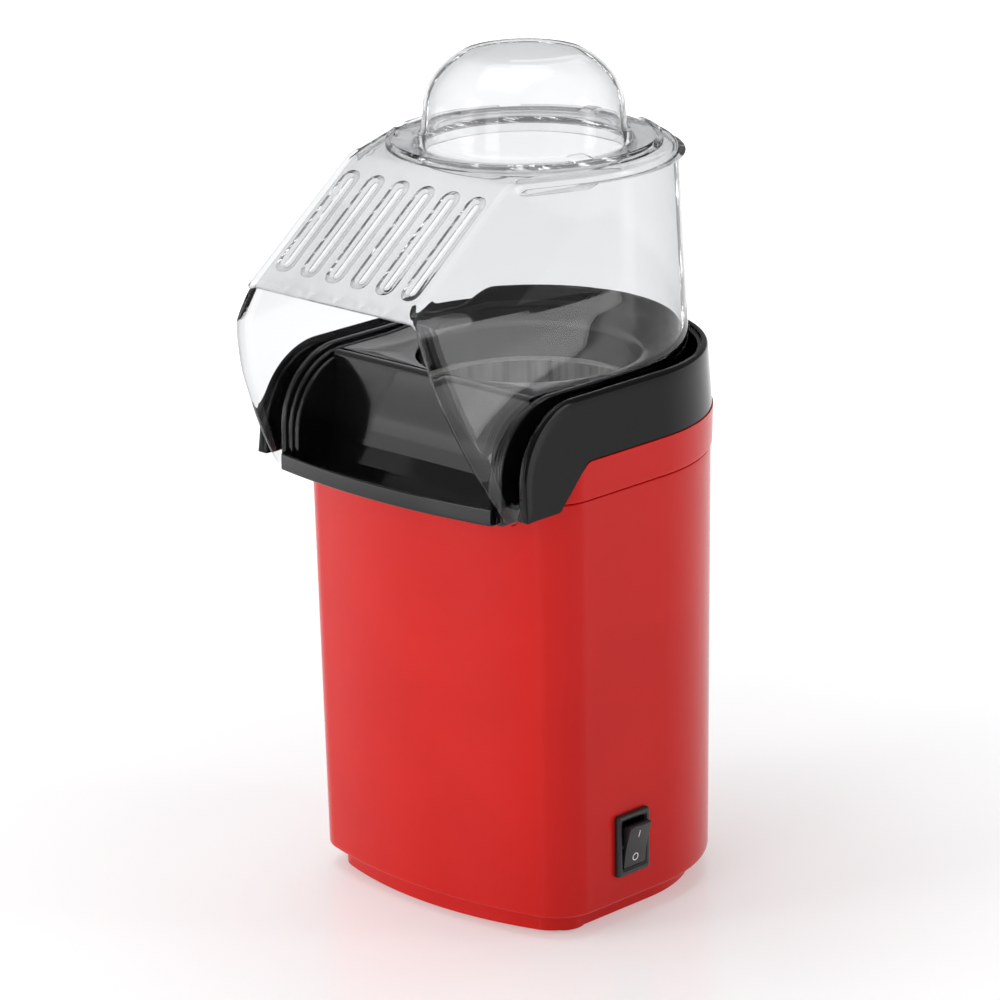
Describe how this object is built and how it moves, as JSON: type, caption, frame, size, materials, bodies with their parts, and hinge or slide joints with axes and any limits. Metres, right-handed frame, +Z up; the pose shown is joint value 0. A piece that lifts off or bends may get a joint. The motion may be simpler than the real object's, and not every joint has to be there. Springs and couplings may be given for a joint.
{
  "type": "popcorn maker",
  "caption": "Small hot air popcorn maker with a red body, black chute and top ring, clear lift-off hood, measuring cap and side rocker switch.",
  "frame": {"origin": "middle of the whole machine's footprint, on the table that the feet stand on", "axes": "+Z up, -Y towards the front with the chute, +X towards the side with the rocker switch"},
  "size_m": [0.123, 0.1491, 0.2776],
  "materials": {
    "red_plastic": "gloss",
    "foot_rubber": "matte",
    "plated_steel": "satin",
    "black_gloss": "gloss",
    "bare_aluminium": "brushed",
    "gasket_rubber": "matte",
    "sheet_steel": "satin",
    "mica_board": "matte",
    "heater_wire": "satin",
    "brass_tabs": "satin",
    "black_matte": "matte",
    "magnet": "matte",
    "board_green": "matte",
    "switch_black": "satin",
    "wire_sleeve": "matte",
    "clear_plastic": "gloss",
    "fan_white": "matte",
    "copper_wound": "satin"
  },
  "bodies": {
    "root": {"body_shell": "red_plastic", "upper_band": "red_plastic", "base_plate": "red_plastic", "foot_pads": "foot_rubber", "base_screws": "plated_steel", "top_trim": "black_gloss", "chute": "black_gloss", "chute_screws": "plated_steel", "popping_chamber": "bare_aluminium", "chamber_gasket": "gasket_rubber", "heater_housing": "sheet_steel", "heater_boards": "mica_board", "heater_coil": "heater_wire", "heater_terminals": "brass_tabs", "thermostat": "sheet_steel", "thermal_fuse": "brass_tabs", "fan_housing": "black_matte", "fan_screws": "plated_steel", "motor_can": "sheet_steel", "motor_magnets": "magnet", "motor_bushes": "brass_tabs", "motor_endcap": "black_matte", "motor_screws": "plated_steel", "rectifier_board": "board_green", "rectifier_diodes": "black_matte", "switch_frame": "switch_black", "switch_terminals": "brass_tabs", "rocker_pin": "plated_steel", "inlet_bush": "foot_rubber", "wiring": "wire_sleeve"},
    "hood": {"hood": "clear_plastic"},
    "cap": {"measuring_cap": "clear_plastic"},
    "fan": {"fan_impeller": "fan_white", "motor_shaft": "plated_steel", "motor_rotor": "copper_wound"},
    "rocker": {"rocker": "switch_black"}
  },
  "joints": [
    {"name": "hood_lift", "type": "slide", "parent": "root", "child": "hood", "axis": [0, 0, 1], "range_m": [0, 0.12]},
    {"name": "cap_lift", "type": "slide", "parent": "hood", "child": "cap", "axis": [0, 0, 1], "range_m": [0, 0.05]},
    {"name": "fan_spin", "type": "hinge", "parent": "root", "child": "fan", "pos_m": [0, 0.01435, 0.06], "axis": [0, 0, 1], "continuous": true},
    {"name": "rocker_tilt", "type": "hinge", "parent": "root", "child": "rocker", "pos_m": [0.0585, -0.00165, 0.02729], "axis": [0, -1, 0], "range_deg": [0, 24]}
  ]
}
